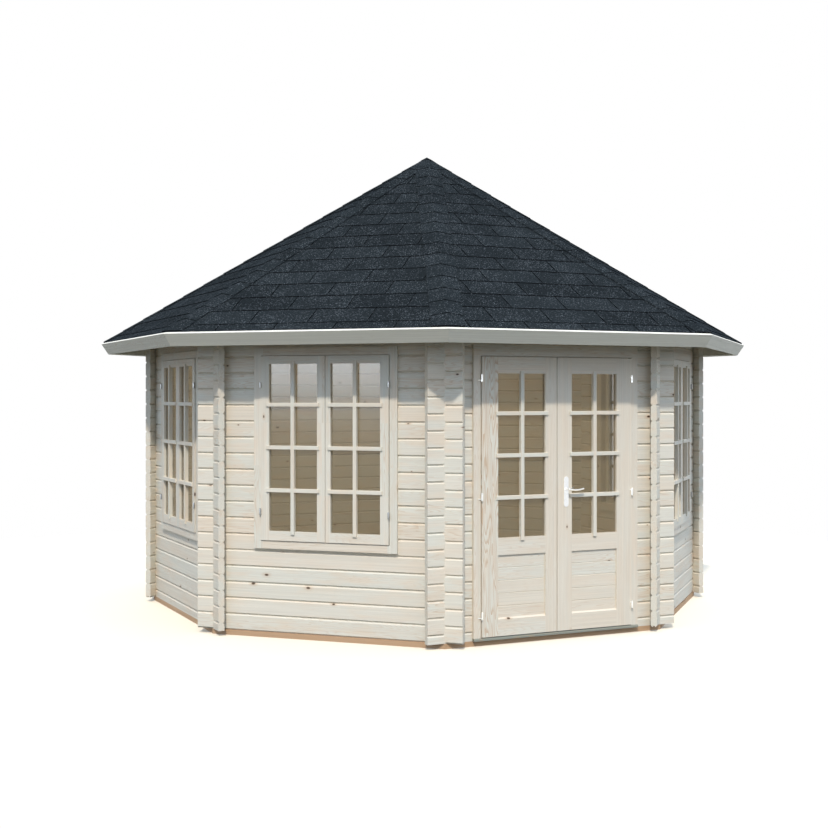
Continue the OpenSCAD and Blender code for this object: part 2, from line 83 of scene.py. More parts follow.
APEX_Z, PITCH, EAVE_A = roof_plane()
RISE = math.tan(PITCH)
EAVE_Z = APEX_Z - EAVE_A * RISE
SLOPE = EAVE_A / math.cos(PITCH)
HIP_PITCH = math.atan(RISE * math.cos(TURN / 2))
HIP_R = EAVE_A / math.cos(TURN / 2)
HIP_SLOPE = HIP_R / math.cos(HIP_PITCH)
COVERING_T = 0.006
DECK_T = 0.018
# Boards and felt run on by this factor before they are trimmed, as half a side's length at the eave does
OVERRUN = 1.1
HALF_SIDE = EAVE_A * math.tan(TURN / 2) * OVERRUN
# Joint between two boards, and the hair's breadth that keeps two faces apart
BOARD_GAP = 0.0006
HAIR = 0.0002


def in_wall_frame(node, place):
    """A node's corner points, turned so that its wall faces the front."""
    back = Matrix.Rotation(-place * TURN, 3, "Z")
    return [back @ vertex.co for vertex in NODES[node].data.vertices]


def pane_openings(node, place):
    """Openings that a glass node fills, each as (low corner, high corner) in its wall's frame."""
    points = in_wall_frame(node, place)
    openings = []
    for side in (-1, 1):
        part = [point for point in points if point.x * side > 0]
        if part:
            low = Vector(min(point[axis] for point in part) for axis in range(3))
            high = Vector(max(point[axis] for point in part) for axis in range(3))
            margin = Vector((GROOVE, 0, GROOVE))
            openings.append((low + margin, high - margin))
    return openings


DOOR_PANE = pane_openings("right_door_glass", 0)[0]
SASH_PANE = pane_openings("right_window_glass", PLACES["right"])[1]
PANEL_LOW, PANEL_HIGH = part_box("left_door_panel")
# Stiles and jambs stand in steps of this width from the door's meeting line
DOOR_MEETING = (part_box("left_door_leaf")[1].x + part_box("right_door_leaf")[0].x) / 2
STILE_STEP = 0.34

# Each board takes its tone, grain and knots from its number. The numbers of one wall, of one side of
# a ring, and of one window's boards are kept apart by these steps, and those of each kind by a seed.
WALL_NUMBERS = 50.0
SIDE_NUMBERS = 37.0
WINDOW_NUMBERS = 9
STILE_SEED = 40.5
SEEDS = {
    "door_panels": 230, "door_frame": 240, "sashes": 260, "casings": 300, "left_leaf": 384,
    "eaves_logs": 390, "fascia": 400, "rafters": 410, "boss": 420, "floor": 430, "roof_boards": 440,
    "upright_bars": 500, "cross_bars": 520, "right_leaf": 627,
}
# Rails, casings, joists and bars are told apart in steps of these lengths
RAIL_STEP = 0.5
CASING_STEP = 1.2
JOIST_STEP = 0.55
UPRIGHT_STEP = 0.3
CROSS_STEP = 0.2
PANEL_BOARDS = 5
# Longer than any side, so that a side's timber counts as one board
WHOLE_SIDE = 5.0


def linear(colour):
    """An sRGB hex colour as linear RGBA."""
    values = [int(colour[place:place + 2], 16) / 255 for place in (1, 3, 5)]
    return (*[v / 12.92 if v <= 0.04045 else ((v + 0.055) / 1.055) ** 2.4 for v in values], 1.0)


def colour_prop(name, description, colour):
    """A colour property with its default given as sRGB hex."""
    return bpy.props.FloatVectorProperty(
        name=name, description=description, subtype="COLOR", size=4, min=0, max=1, default=linear(colour)
    )


def length_prop(name, description, metres):
    """A length property in metres."""
    return bpy.props.FloatProperty(
        name=name, description=description, unit="LENGTH", min=0, default=metres
    )


def angle_prop(name, description, degrees):
    """An angle property with its default given in degrees."""
    return bpy.props.FloatProperty(
        name=name, description=description, subtype="ANGLE", default=math.radians(degrees)
    )


def amount_prop(name, description, amount):
    """A property for an amount that is never less than nothing."""
    return bpy.props.FloatProperty(name=name, description=description, min=0, default=amount)


# Sizes and colours that a user would change


class GazeboRoof(bpy.types.PropertyGroup):
    """Sizes of the roof covering and boards."""

    first_course: length_prop("First course", "Height of the first shingle course that shows", 0.095)
    exposure: length_prop("Exposure", "Height of each further course that shows", 0.191)
    tab_width: length_prop("Tab width", "Distance between two slits of a shingle strip", 0.433)
    slit: length_prop("Slit", "Width of the slit between two tabs", 0.009)
    shingle_t: length_prop("Shingle thickness", "Thickness of a shingle at its lower edge", 0.0068)
    head_lap: length_prop("Head lap", "Length of a shingle under the next course", 0.05)
    cap_wing: length_prop("Cap wing", "Width of a hip cap to each side, in plan", 0.108)
    cap_spacing: length_prop("Cap spacing", "Length of each hip cap that shows", 0.19)
    board_width: length_prop("Roof board", "Width of a roof board", 0.096)
    joint: length_prop("Board joint", "Width of the bevel along a board's edge", 0.003)


class GazeboJoinery(bpy.types.PropertyGroup):
    """Sizes of the glazing bars, floor boards and small ironwork."""

    bar_width: length_prop("Bar width", "Width of a glazing bar", 0.027)
    bar_proud: length_prop("Bar proud", "Thickness of a glazing bar in front of the sash", 0.011)
    bar_end: length_prop("Bar end", "Length that a bar laps over stiles and top rail", 0.017)
    bar_foot: length_prop("Bar foot", "Length that an upright bar laps over the lower rail", 0.022)
    bar_edge: length_prop("Bar edge", "Chamfer along a glazing bar's front edges", 0.002)
    cross_bars: bpy.props.IntProperty(
        name="Cross bars", description="Cross bars in each sash or leaf", min=1, default=3
    )
    floor_width: length_prop("Floor board", "Width of a floor board", 0.116)
    hinge_length: length_prop("Hinge length", "Length of a window hinge's barrels", 0.044)
    hinge_diameter: length_prop("Hinge diameter", "Diameter of a window hinge's barrel", 0.014)
    hinge_inset: length_prop("Hinge inset", "Distance from a sash's end to its hinge", 0.2)
    nail_head: length_prop("Nail head", "Diameter of a nail head on the fascia", 0.008)


class GazeboColours(bpy.types.PropertyGroup):
    """Colours of the finishes."""

    spruce: colour_prop("Spruce", "Planed spruce in plain light", "#DFDACD")
    spruce_warm: colour_prop("Warm spruce", "Pinker logs and the heart of a board", "#E1D2BE")
    spruce_grey: colour_prop("Pale spruce", "Greyer logs", "#D9D9CE")
    figure: colour_prop("Figure", "Dark growth rings", "#BC9468")
    knot: colour_prop("Knot", "Middle of a knot", "#54402F")
    fascia: colour_prop("Fascia", "Primed fascia board", "#DEDCCF")
    # A painted highlight: the sunlit look of the fascia's upper edge, laid on as colour
    fascia_painted_highlight: colour_prop("Fascia edge", "Fresh upper edge of the fascia", "#E8E6DC")
    bearer: colour_prop("Bearer", "Pressure-treated bearer", "#C09E7D")
    threshold: colour_prop("Threshold", "Oiled threshold", "#868B82")
    shingle: colour_prop("Shingle", "Slate-coated bitumen", "#23282B")
    shingle_light: colour_prop("Shingle grit", "Light grains in the slate coat", "#646B71")
    shingle_edge: colour_prop("Shingle edge", "Cut edge of bitumen", "#07080A")
    zinc: colour_prop("Zinc", "Bright zinc plate", "#EEEFEE")
    dull_zinc: colour_prop("Dull zinc", "Weathered zinc of the window hinges", "#9DA0A2")
    steel: colour_prop("Steel", "Satin steel", "#F1F3F5")
    # Its brown paints in part of the dim room seen through a pane
    glass: colour_prop("Glass", "Body colour of a pane", "#75694F")


class GazeboStage(bpy.types.PropertyGroup):
    """Light and camera."""

    sun: amount_prop("Sun", "Strength of the key light", 2.53)
    sun_soft: angle_prop("Sun softness", "Angle that the key light spans", 2.5)
    sun_height: angle_prop("Sun height", "Elevation of the key light", 47.5)
    sun_azimuth: angle_prop("Sun azimuth", "Azimuth of the key light", -30)
    sun_colour: colour_prop("Sun colour", "Colour of the key light", "#FFF6EA")
    sky: amount_prop("Sky", "Strength of the fill light", 1.08)
    sky_colour: colour_prop("Sky colour", "Colour of the fill light", "#DEECFF")
    ground: amount_prop("Ground", "Strength of the light from below", 0.08)
    floor: colour_prop("Floor", "Plain studio floor", "#F7EEDD")
    floor_bounce: colour_prop("Floor bounce", "Floor as it sends light back", "#4E4F42")
    floor_radius: length_prop("Floor radius", "Radius of the studio floor", 7.0)
    room: amount_prop("Room light", "Power of the light in the room", 27.0)
    room_colour: colour_prop("Room colour", "Colour of the light in the room", "#FFF3DC")
    panel: amount_prop("Panel light", "Power of the light panel that the windows mirror", 1075.0)
    panel_colour: colour_prop("Panel colour", "Colour of the light panel", "#E7F3FF")
    eye_distance: length_prop("Eye distance", "Distance of the camera from the axis", 11.030)
    eye_height: length_prop("Eye height", "Height of the camera", 1.685)
    eye_azimuth: angle_prop("Eye azimuth", "Azimuth of the camera", -25.5)
    lens: bpy.props.FloatProperty(
        name="Lens", description="Focal length", subtype="DISTANCE_CAMERA", default=57.34
    )
    shift_x: bpy.props.FloatProperty(name="Shift X", description="Sideways shift", default=-0.0155)
    shift_y: bpy.props.FloatProperty(name="Shift Y", description="Upright shift", default=-0.0219)


# Modelling by hand


def select_only(*pieces):
    """Selects these pieces alone, the first one active."""
    bpy.ops.object.select_all(action="DESELECT")
    for piece in pieces:
        piece.select_set(True)
    bpy.context.view_layer.objects.active = pieces[0]


def block(name, low, high):
    """A cube primitive that fills the box from low to high, with its place in its mesh."""
    low = Vector(low)
    high = Vector(high)
    bpy.ops.object.select_all(action="DESELECT")
    bpy.ops.mesh.primitive_cube_add(size=1, location=(low + high) / 2)
    piece = bpy.context.object
    piece.name = name
    piece.scale = high - low
    bpy.ops.object.transform_apply(location=True, rotation=True, scale=True)
    return piece


def open_with(piece, kind, chosen):
    """Opens a piece in edit mode with the verts, edges or faces that chosen accepts selected."""
    select_only(piece)
    bpy.ops.object.mode_set(mode="EDIT")
    bpy.ops.mesh.select_mode(type={"verts": "VERT", "edges": "EDGE", "faces": "FACE"}[kind])
    bpy.ops.mesh.select_all(action="DESELECT")
    shape = bmesh.from_edit_mesh(piece.data)
    for part in getattr(shape, kind):
        part.select_set(chosen(part))
    shape.select_flush_mode()
    bmesh.update_edit_mesh(piece.data)


def close():
    """Leaves edit mode."""
    bpy.ops.object.mode_set(mode="OBJECT")


def middle(edge):
    """Middle point of an edge."""
    return (edge.verts[0].co + edge.verts[1].co) / 2


def runs_along(edge, axis):
    """True where an edge runs along an axis, 0, 1 or 2."""
    return abs((edge.verts[1].co - edge.verts[0].co).normalized()[axis]) > 0.99


def ease(piece, chosen, width, segments=1):
    """Bevels the edges that chosen accepts."""
    open_with(piece, "edges", chosen)
    bpy.ops.mesh.bevel(offset=width, segments=segments, affect="EDGES")
    close()


def cut(piece, point, normal, drop=True):
    """Cuts a piece by a plane, and drops what lies on the side of its normal unless told to keep it."""
    open_with(piece, "faces", lambda face: True)
    bpy.ops.mesh.bisect(plane_co=point, plane_no=normal, use_fill=drop, clear_outer=drop)
    close()


def lift(piece, chosen, height):
    """Moves the corners that chosen accepts up by a height."""
    open_with(piece, "verts", chosen)
    bpy.ops.transform.translate(value=(0, 0, height))
    close()


def cylinder(sides, radius, depth, location, rotation=(0, 0, 0)):
    """A cylinder primitive with its place in its mesh."""
    bpy.ops.object.select_all(action="DESELECT")
    bpy.ops.mesh.primitive_cylinder_add(
        vertices=sides, radius=radius, depth=depth, location=location, rotation=rotation
    )
    bpy.ops.object.transform_apply(location=True, rotation=True, scale=True)
    return bpy.context.object


def repeat(piece, count, offset):
    """Repeats a piece along an offset."""
    select_only(piece)
    array = piece.modifiers.new("rows", "ARRAY")
    array.count = count
    array.use_relative_offset = False
    array.use_constant_offset = True
    array.constant_offset_displace = offset
    bpy.ops.object.modifier_apply(modifier=array.name)


def place_at(piece, location=(0, 0, 0), rotation=(0, 0, 0)):
    """Turns and moves a piece, with its place kept in its mesh."""
    select_only(piece)
    piece.rotation_euler = rotation
    piece.location = location
    bpy.ops.object.transform_apply(location=True, rotation=True, scale=True)


def copy_of(piece):
    """A copy with its own mesh."""
    select_only(piece)
    bpy.ops.object.duplicate()
    return bpy.context.object


def join(name, pieces):
    """Joins pieces to one with the given name."""
    select_only(*pieces)
    if len(pieces) > 1:
        bpy.ops.object.join()
    piece = bpy.context.object
    piece.name = name
    piece.data.name = name
    return piece


def round_the_axis(name, piece, first=0.0):
    """Joins copies of a piece turned about the axis, one for each side."""
    copies = [copy_of(piece) for _ in range(SIDES - 1)]
    for number, one in enumerate([piece, *copies]):
        place_at(one, rotation=(0, 0, first + number * TURN))
    return join(name, [piece, *copies])


def settle(piece, body, slot, material, *replaced):
    """Gives a finished piece its material and body, and hides the nodes that it stands for; the slot is
    not used.
    """
    piece.data.materials.clear()
    piece.data.materials.append(material)
    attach(piece, body)
    if replaced:
        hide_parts(*replaced)


def trim_to_sector(piece):
    """Cuts a piece just short of the two hips beside the front side."""
    for side in (-1, 1):
        normal = Vector((side * math.cos(TURN / 2), math.sin(TURN / 2), 0))
        cut(piece, -HAIR * normal, normal)


def lay_on_front_roof(piece, height):
    """Tilts a piece modelled flat from the eave up, and lays it at a height over the covering."""
    out = Vector((0, -math.sin(PITCH), math.cos(PITCH)))
    place_at(piece, Vector((0, -EAVE_A, EAVE_Z)) + out * height, (PITCH, 0, 0))


# Materials

# Sockets of a Mix node by number: two colours and their mix, two vectors and theirs
MIX_A = 6
MIX_B = 7
MIX_OUT = 2
VECTOR_A = 4
VECTOR_B = 5
VECTOR_OUT = 1


def add(tree, kind, inputs=(), output=0, **settings):
    """Adds a shader node, sets it, fills or links its inputs, and returns one of its outputs.

    The inputs stand in their order, or by name or number in a table. A Map Range has the value first,
    then the two ends of the range that it comes from, and of the one that it goes to.
    """
    made = tree.nodes.new("ShaderNode" + kind)
    for key, value in settings.items():
        setattr(made, key, value)
    for key, value in inputs.items() if isinstance(inputs, dict) else enumerate(inputs):
        if isinstance(value, bpy.types.NodeSocket):
            tree.links.new(value, made.inputs[key])
        else:
            made.inputs[key].default_value = value
    return made.outputs[output] if made.outputs else None


def new_material(name):
    """An empty material and its node tree."""
    material = bpy.data.materials.new(name)
    material.use_nodes = True
    material.node_tree.nodes.clear()
    return material, material.node_tree


def close_material(material, inputs):
    """Ends a material in a Principled surface, and returns it."""
    tree = material.node_tree
    surface = add(tree, "BsdfPrincipled", inputs)
    add(tree, "OutputMaterial", {"Surface": surface})
    return material


def wall_space(place):
    """Coordinates of one wall: along it, up, and out of it."""

    def build(tree):
        coords = add(tree, "TexCoord", output="Object")
        return add(tree, "Mapping", {"Vector": coords, "Rotation": (-math.pi / 2, -place * TURN, 0)})

    return build


def side_number(tree, coords, shift=0.0):
    """Number of the nearest of eight sides, counted from the front."""
    split = add(tree, "SeparateXYZ", (coords,)).node
    out = add(tree, "Math", (split.outputs[1], -1.0), operation="MULTIPLY")
    angle = add(tree, "Math", (split.outputs[0], out), operation="ARCTAN2")
    steps = add(tree, "Math", (angle, 1 / TURN, -shift), operation="MULTIPLY_ADD")
    return add(tree, "Math", (steps,), operation="ROUND")


def ring_space(shift=0.0):
    """Coordinates of the nearest of eight sides: along it, up, and out of it."""

    def build(tree):
        coords = add(tree, "TexCoord", output="Object")
        nearest = side_number(tree, coords, shift)
        back = add(tree, "Math", (nearest, -TURN, -shift * TURN), operation="MULTIPLY_ADD")
        turned = add(tree, "VectorRotate", {"Vector": coords, "Angle": back}, rotation_type="Z_AXIS")
        return add(tree, "Mapping", {"Vector": turned, "Rotation": (-math.pi / 2, 0, 0)})

    return build


def flat_space(tree):
    """Coordinates of the floor: along the boards, across them, and up."""
    return add(tree, "TexCoord", output="Object")


def layers(axis, size, start=0.0, seed=0.0):
    """Number of the board at a point, where boards of one size lie along an axis of the space."""

    def build(tree, space):
        along = add(tree, "SeparateXYZ", (space,), output=axis)
        share = add(tree, "Math", (along, 1 / size, -start / size), operation="MULTIPLY_ADD")
        whole = add(tree, "Math", (share,), operation="FLOOR")
        return add(tree, "Math", (whole, seed), operation="ADD")

    return build


def whole_side(seed=0.0):
    """One board as long as a side."""
    return layers(0, WHOLE_SIDE, -WHOLE_SIDE / 2, seed)


def each_side(boards, shift=0.0):
    """Numbers boards anew on each of the eight sides."""

    def build(tree, space):
        coords = add(tree, "TexCoord", output="Object")
        nearest = side_number(tree, coords, shift)
        number = boards(tree, space)
        return add(tree, "Math", (nearest, SIDE_NUMBERS, number), operation="MULTIPLY_ADD")

    return build


def below(limit):
    """One where a point lies below a height."""

    def build(tree, space):
        height = add(tree, "SeparateXYZ", (space,), output=1)
        return add(tree, "Math", (height, limit), operation="LESS_THAN")

    return build


def outside(axis, low, high):
    """One where a point's distance along an axis is under low or over high."""

    def build(tree, space):
        along = add(tree, "SeparateXYZ", (space,), output=axis)
        distance = add(tree, "Math", (along,), operation="ABSOLUTE")
        off = add(tree, "Math", (distance, (low + high) / 2), operation="SUBTRACT")
        size = add(tree, "Math", (off,), operation="ABSOLUTE")
        return add(tree, "Math", (size, (high - low) / 2), operation="GREATER_THAN")

    return build


def timber(
    name, space, boards, upright=None, tint=None, edge=None, knots=0.42, roughness=0.62, figure=0.34
):
    """Planed softwood: pale, with faint long grain, flamed growth rings and small dark knots.

    The space runs along the grain first; where upright says so, the grain runs up it instead.
    Each board has its own tone, grain and knots. Where edge is given, that colour is laid over faces that
    look up as a painted highlight.
    """
    colours = bpy.context.scene.gazebo_colours
    material, tree = new_material(name)
    plain = space(tree)
    number = boards(tree, plain)
    lay = plain
    if upright:
        lay = add(tree, "Mapping", {"Vector": plain, "Rotation": (0, 0, -math.pi / 2)})
    if callable(upright):
        mask = upright(tree, plain)
        lay = add(tree, "Mix", {
            0: mask, VECTOR_A: plain, VECTOR_B: lay,
        }, output=VECTOR_OUT, data_type="VECTOR")
        stile = layers(0, STILE_STEP, DOOR_MEETING, STILE_SEED)(tree, plain)
        number = add(tree, "Math", (mask, stile, number), operation="MULTIPLY_ADD")

    # Each board is cut from another part of the trunk
    pick = add(tree, "TexWhiteNoise", {"W": number}, noise_dimensions="1D").node
    lay = add(tree, "VectorMath", (
        pick.outputs["Color"], (9.0, 5.0, 5.0), lay,
    ), operation="MULTIPLY_ADD")
    chance = add(tree, "SeparateColor", (pick.outputs["Color"],)).node

    # Long fibres, 9 mm across and over half a metre long
    fibre = add(tree, "Mapping", {"Vector": lay, "Scale": (1.4, 110.0, 110.0)})
    streak = add(tree, "TexNoise", {"Vector": fibre, "Scale": 1.0, "Detail": 4.0, "Roughness": 0.62})
    # Growth rings a few millimetres apart, bent into flames
    flame = add(tree, "Mapping", {"Vector": lay, "Scale": (1.1, 14.0, 14.0)})
    bend = add(tree, "TexNoise", {"Vector": flame, "Scale": 0.9, "Detail": 2.0})
    rings = add(tree, "Math", (bend, 26.0), operation="MULTIPLY")
    crest = add(tree, "Math", (rings,), operation="FRACT")
    line = add(tree, "MapRange", (crest, 0.45, 0.98, 0.0, 1.0), interpolation_type="SMOOTHSTEP")
    # Knots 5 to 18 mm across the grain, and twice as long
    spots = add(tree, "Mapping", {"Vector": lay, "Scale": (0.5, 1.0, 0.0)})
    knot_cell_m = 0.21
    cell = add(tree, "TexVoronoi", {
        "Vector": spots, "Scale": 1 / knot_cell_m,
    }, voronoi_dimensions="2D").node
    cell_pick = add(tree, "SeparateColor", (cell.outputs["Color"],)).node
    radius = add(tree, "MapRange", (cell_pick.outputs[0], 1 - knots, 1.0, 0.012, 0.042))
    present = add(tree, "Math", (cell_pick.outputs[0], 1 - knots), operation="GREATER_THAN")
    ratio = add(tree, "Math", (cell.outputs["Distance"], radius), operation="DIVIDE")
    core = add(tree, "MapRange", (ratio, 0.55, 1.15, 1.0, 0.0), interpolation_type="SMOOTHSTEP")
    knot = add(tree, "Math", (core, present), operation="MULTIPLY")
    halo_fall = add(tree, "MapRange", (ratio, 0.8, 3.2, 0.3, 0.0), interpolation_type="SMOOTHSTEP")
    halo = add(tree, "Math", (halo_fall, present), operation="MULTIPLY")

    # Board tone, then fibres, rings, knots
    base = tint or colours.spruce
    tone = add(tree, "MapRange", (chance.outputs[0], 0.0, 1.0, 0.0, 0.6))
    pale = add(tree, "Mix", {
        0: tone, MIX_A: base, MIX_B: base if tint else colours.spruce_grey,
    }, output=MIX_OUT, data_type="RGBA")
    # Each board has a warmth, and soft warm and cool patches about 300 mm long and 60 mm high
    cloud = add(tree, "Mapping", {"Vector": lay, "Scale": (3.3, 16.0, 16.0)})
    patch = add(tree, "TexNoise", {"Vector": cloud, "Scale": 1.0, "Detail": 2.0})
    warm_board = add(tree, "MapRange", (chance.outputs[1], 0.4, 1.0, -0.3, 0.45))
    warmth = add(tree, "MapRange", (patch, 0.4, 0.7, warm_board, 0.7))
    heart = add(tree, "Mix", {
        0: warmth, MIX_A: pale, MIX_B: base if tint else colours.spruce_warm,
    }, output=MIX_OUT, data_type="RGBA")
    shade = add(tree, "MapRange", (streak, 0.3, 0.75, 1.04, 0.9))
    fibred = add(tree, "VectorMath", {0: heart, "Scale": shade}, operation="SCALE")
    depth = add(tree, "MapRange", (chance.outputs[2], 0.3, 1.0, 0.04, figure))
    ring_mix = add(tree, "Math", (line, depth), operation="MULTIPLY")
    marks = [(ring_mix, colours.figure), (halo, colours.figure), (knot, colours.knot)]
    # Where edge is given, faces that look up take it as a painted highlight, over grain and knots
    if edge:
        facing = add(tree, "NewGeometry", output="Normal")
        rise = add(tree, "SeparateXYZ", (facing,), output=2)
        marks.append((add(tree, "Math", (rise, 0.5), operation="GREATER_THAN"), edge))
    finished = fibred
    for amount, mark in marks:
        finished = add(tree, "Mix", {
            0: amount, MIX_A: finished, MIX_B: mark,
        }, output=MIX_OUT, data_type="RGBA")
    bump = add(tree, "Bump", {"Strength": 0.25, "Distance": 0.0012, "Height": streak})
    rough = add(tree, "MapRange", (streak, 0.3, 0.7, roughness - 0.06, roughness + 0.08))
    return close_material(material, {
        "Base Color": finished, "Roughness": rough, "Normal": bump, "Specular IOR Level": 0.35,
    })


def bitumen(name):
    """Slate-coated bitumen felt: nearly black, dry, with a fine light grit and a tone for each tab."""
    colours = bpy.context.scene.gazebo_colours
    material, tree = new_material(name)
    coords = add(tree, "TexCoord", output="Object")
    tone = add(tree, "Attribute", output="Fac", attribute_name="tone")
    # Grains are about 2 mm; drawn coarser so that they show
    grain_m = 0.0045
    grit = add(tree, "TexVoronoi", {"Vector": coords, "Scale": 1 / grain_m}).node
    pick = add(tree, "SeparateColor", (grit.outputs["Color"],)).node
    patch = add(tree, "TexNoise", {"Vector": coords, "Scale": 5.0, "Detail": 3.0})
    dense = add(tree, "MapRange", (patch, 0.35, 0.7, 0.96, 0.8))
    light = add(tree, "Math", (pick.outputs[0], dense), operation="GREATER_THAN")
    amount = add(tree, "Math", (light, pick.outputs[1]), operation="MULTIPLY")
    grain = add(tree, "MapRange", (pick.outputs[2], 0.0, 1.0, 0.7, 1.3))
    level = add(tree, "MapRange", (tone, 0.0, 1.0, 0.84, 1.17))
    factor = add(tree, "Math", (grain, level), operation="MULTIPLY")
    body = add(tree, "VectorMath", {0: colours.shingle[:3], "Scale": factor}, operation="SCALE")
    colour = add(tree, "Mix", {
        0: amount, MIX_A: body, MIX_B: colours.shingle_light,
    }, output=MIX_OUT, data_type="RGBA")
    bump = add(tree, "Bump", {"Strength": 0.5, "Distance": 0.002, "Height": grit.outputs["Distance"]})
    return close_material(material, {
        "Base Color": colour, "Roughness": 0.9, "Normal": bump, "Specular IOR Level": 0.0,
    })


def bitumen_edge():
    """Cut edge of the felt: bare black bitumen without grit."""
    colours = bpy.context.scene.gazebo_colours
    material, tree = new_material("bitumen_cut_edge")
    coords = add(tree, "TexCoord", output="Object")
    lump_m = 0.012
    noise = add(tree, "TexNoise", {"Vector": coords, "Scale": 1 / lump_m, "Detail": 2.0})
    shade = add(tree, "MapRange", (noise, 0.3, 0.7, 0.6, 1.6))
    colour = add(tree, "VectorMath", {0: colours.shingle_edge[:3], "Scale": shade}, operation="SCALE")
    return close_material(material, {"Base Color": colour, "Roughness": 0.8, "Specular IOR Level": 0.0})


def pane_glass():
    """Float glass: clear, softly blurred in what it mirrors, with a brownish body colour that paints in
    part of the dim room seen through it.
    """
    colours = bpy.context.scene.gazebo_colours
    material, tree = new_material("float_glass")
    coords = add(tree, "TexCoord", output="Object")
    waver = add(tree, "TexNoise", {"Vector": coords, "Scale": 2.2, "Detail": 1.0})
    bump = add(tree, "Bump", {"Strength": 0.06, "Distance": 0.004, "Height": waver})
    smear = add(tree, "MapRange", (waver, 0.3, 0.7, 0.14, 0.16))
    return close_material(material, {
        "Base Color": colours.glass, "Roughness": smear, "IOR": 1.52, "Alpha": 0.3, "Normal": bump,
    })


def bright_metal(name, colour, roughness, streak_mm):
    """Plated or satin metal: bright, softly blurred, with fine draw marks."""
    material, tree = new_material(name)
    coords = add(tree, "TexCoord", output="Object")
    marks = add(tree, "Mapping", {"Vector": coords, "Scale": (1000 / streak_mm, 1000 / streak_mm, 40.0)})
    noise = add(tree, "TexNoise", {"Vector": marks, "Scale": 1.0, "Detail": 3.0})
    rough = add(tree, "MapRange", (noise, 0.3, 0.7, roughness - 0.08, roughness + 0.1))
    shade = add(tree, "MapRange", (noise, 0.3, 0.7, 0.92, 1.04))
    tone = add(tree, "VectorMath", {0: colour[:3], "Scale": shade}, operation="SCALE")
    return close_material(material, {"Base Color": tone, "Metallic": 1.0, "Roughness": rough})


def dress(material, *nodes):
    """Gives CAD nodes a material."""
    for name in nodes:
        for place in NODES[name].material_slots:
            place.material = material


# Operators


class GAZEBO_OT_log_walls(bpy.types.Operator):
    """Give the log walls and eaves logs their planed spruce"""

    bl_idname = "gazebo.log_walls"
    bl_label = "Log walls"

    def execute(self, context):
        for name, place in PLACES.items():
            half = 0.5 * LOG_H if place % 2 == 0 else 0.0
            logs = layers(1, LOG_H, WALL_LOW.z - half, WALL_NUMBERS * place)
            dress(timber(f"spruce_logs_{name}", wall_space(place), logs), f"{name}_wall")
        eaves = each_side(whole_side(SEEDS["eaves_logs"]))
        dress(timber("spruce_eaves_logs", ring_space(), eaves), "eaves_logs")
        return {"FINISHED"}


class GAZEBO_OT_joinery(bpy.types.Operator):
    """Give door, frames and sashes planed spruce, upright in the stiles and level in the rails"""

    bl_idname = "gazebo.joinery"
    bl_label = "Door and window timber"

    def execute(self, context):
        ring = ring_space()
        beside_pane = outside(0, DOOR_PANE[0].x, DOOR_PANE[1].x)
        for side in ("left", "right"):
            rails = layers(2, RAIL_STEP, seed=SEEDS[f"{side}_leaf"])
            leaf = timber(f"spruce_{side}_leaf", ring, rails, beside_pane, figure=0.6)
            dress(leaf, f"{side}_door_leaf")
        board_h = (PANEL_HIGH.z - PANEL_LOW.z - 2 * GROOVE) / PANEL_BOARDS
        boards = layers(1, board_h, PANEL_LOW.z + GROOVE, SEEDS["door_panels"])
        dress(timber("spruce_door_panels", ring, boards), "left_door_panel", "right_door_panel")
        leaf_gap = 0.005
        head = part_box("left_door_leaf")[1].z + leaf_gap
        jambs = timber("spruce_door_frame", ring, whole_side(SEEDS["door_frame"]), below(head), knots=0.1)
        dress(jambs, "door_frame")
        casing_lap = 0.012
        points = in_wall_frame("right_window_sashes", PLACES["right"])
        jamb = max(abs(point.x) for point in points) - casing_lap
        beside_pane = outside(0, SASH_PANE[0].x, SASH_PANE[1].x)
        beside_sash = outside(0, -jamb, jamb)
        for number, name in enumerate(WINDOWS):
            first = WINDOW_NUMBERS * number
            rails = layers(1, RAIL_STEP, seed=SEEDS["sashes"] + first)
            sash = timber(f"spruce_{name}_sashes", ring, rails, beside_pane, knots=0.2)
            dress(sash, f"{name}_window_sashes")
            rails = layers(1, CASING_STEP, seed=SEEDS["casings"] + first)
            casing = timber(f"spruce_{name}_casing", ring, rails, beside_sash, knots=0.2)
            dress(casing, f"{name}_window_frame")
        return {"FINISHED"}


class GAZEBO_OT_base(bpy.types.Operator):
    """Give bearers, joists and threshold their timber"""

    bl_idname = "gazebo.base"
    bl_label = "Bearers and threshold"

    def execute(self, context):
        colours = context.scene.gazebo_colours
        brown = colours.bearer
        bearer = timber("treated_bearer", ring_space(), each_side(whole_side()), tint=brown)
        dress(bearer, "foundation_bearers")
        joists = layers(2, JOIST_STEP)
        joist = timber("treated_joists", wall_space(PLACES["right"]), joists, tint=brown)
        dress(joist, "floor_joists")
        front = wall_space(PLACES["front"])
        plank = layers(0, WHOLE_SIDE)
        threshold = timber("oiled_threshold", front, plank, tint=colours.threshold, knots=0.0)
        dress(threshold, "door_threshold")
        return {"FINISHED"}


class GAZEBO_OT_roof_timber(bpy.types.Operator):
    """Give fascia, rafters and boss their spruce"""

    bl_idname = "gazebo.roof_timber"
    bl_label = "Fascia and rafters"

    def execute(self, context):
        colours = context.scene.gazebo_colours
        # The fascia's upper edge gets a painted highlight from its edge colour
        fascia = timber(
            "spruce_fascia", ring_space(), each_side(whole_side(SEEDS["fascia"])),
            tint=colours.fascia, edge=colours.fascia_painted_highlight, knots=0.12,
        )
        dress(fascia, "eaves_fascia")
        # The hips stand half a side on from the middles of the sides
        on_hips = 0.5
        rafter = each_side(whole_side(SEEDS["rafters"]), on_hips)
        dress(timber("spruce_rafters", ring_space(on_hips), rafter, upright=True), "hip_rafters")
        front = wall_space(PLACES["front"])
        boss = timber("spruce_boss", front, whole_side(SEEDS["boss"]), upright=True)
        dress(boss, "roof_boss")
        return {"FINISHED"}


